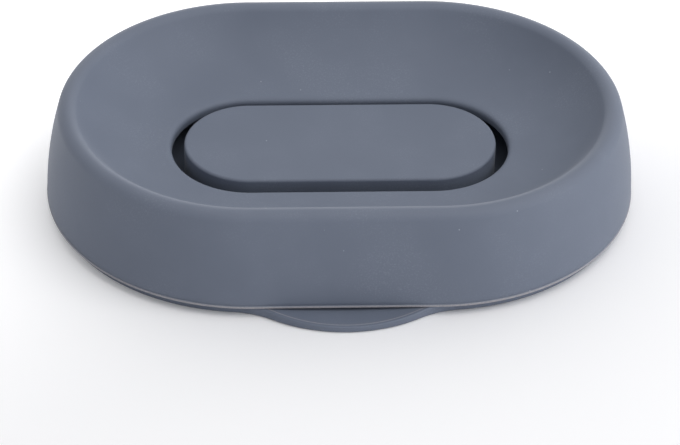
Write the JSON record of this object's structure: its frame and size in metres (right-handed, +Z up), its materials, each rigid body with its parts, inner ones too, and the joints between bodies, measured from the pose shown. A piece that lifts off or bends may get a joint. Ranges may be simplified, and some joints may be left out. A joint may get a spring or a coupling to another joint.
{
  "type": "silicone soap dish",
  "caption": "Oval self-draining soap dish in nesting silicone pieces: a concave dish, a raised soap rest in its opening, and a drain tray with a spout.",
  "frame": {"origin": "middle of the drain tray's underside, below the centre of the soap rest", "axes": "+X along the dish's length, -Y towards the spout, +Z up"},
  "size_m": [0.1298, 0.0956, 0.0242],
  "materials": {
    "tray_silicone": "slate-grey silicone, matt moulded skin",
    "dish_silicone": "slate-grey silicone, matt moulded skin",
    "rest_silicone": "slate-grey silicone, matt moulded skin"
  },
  "bodies": {
    "tray": {"drain_tray": "tray_silicone"},
    "dish": {"upper_dish": "dish_silicone"},
    "rest": {"soap_rest": "rest_silicone"}
  },
  "joints": [
    {"name": "dish_lift", "type": "slide", "parent": "tray", "child": "dish", "axis": [0, 0, 1], "range_m": [0, 0.05]},
    {"name": "rest_lift", "type": "slide", "parent": "tray", "child": "rest", "axis": [0, 0, 1], "range_m": [0, 0.03]}
  ]
}
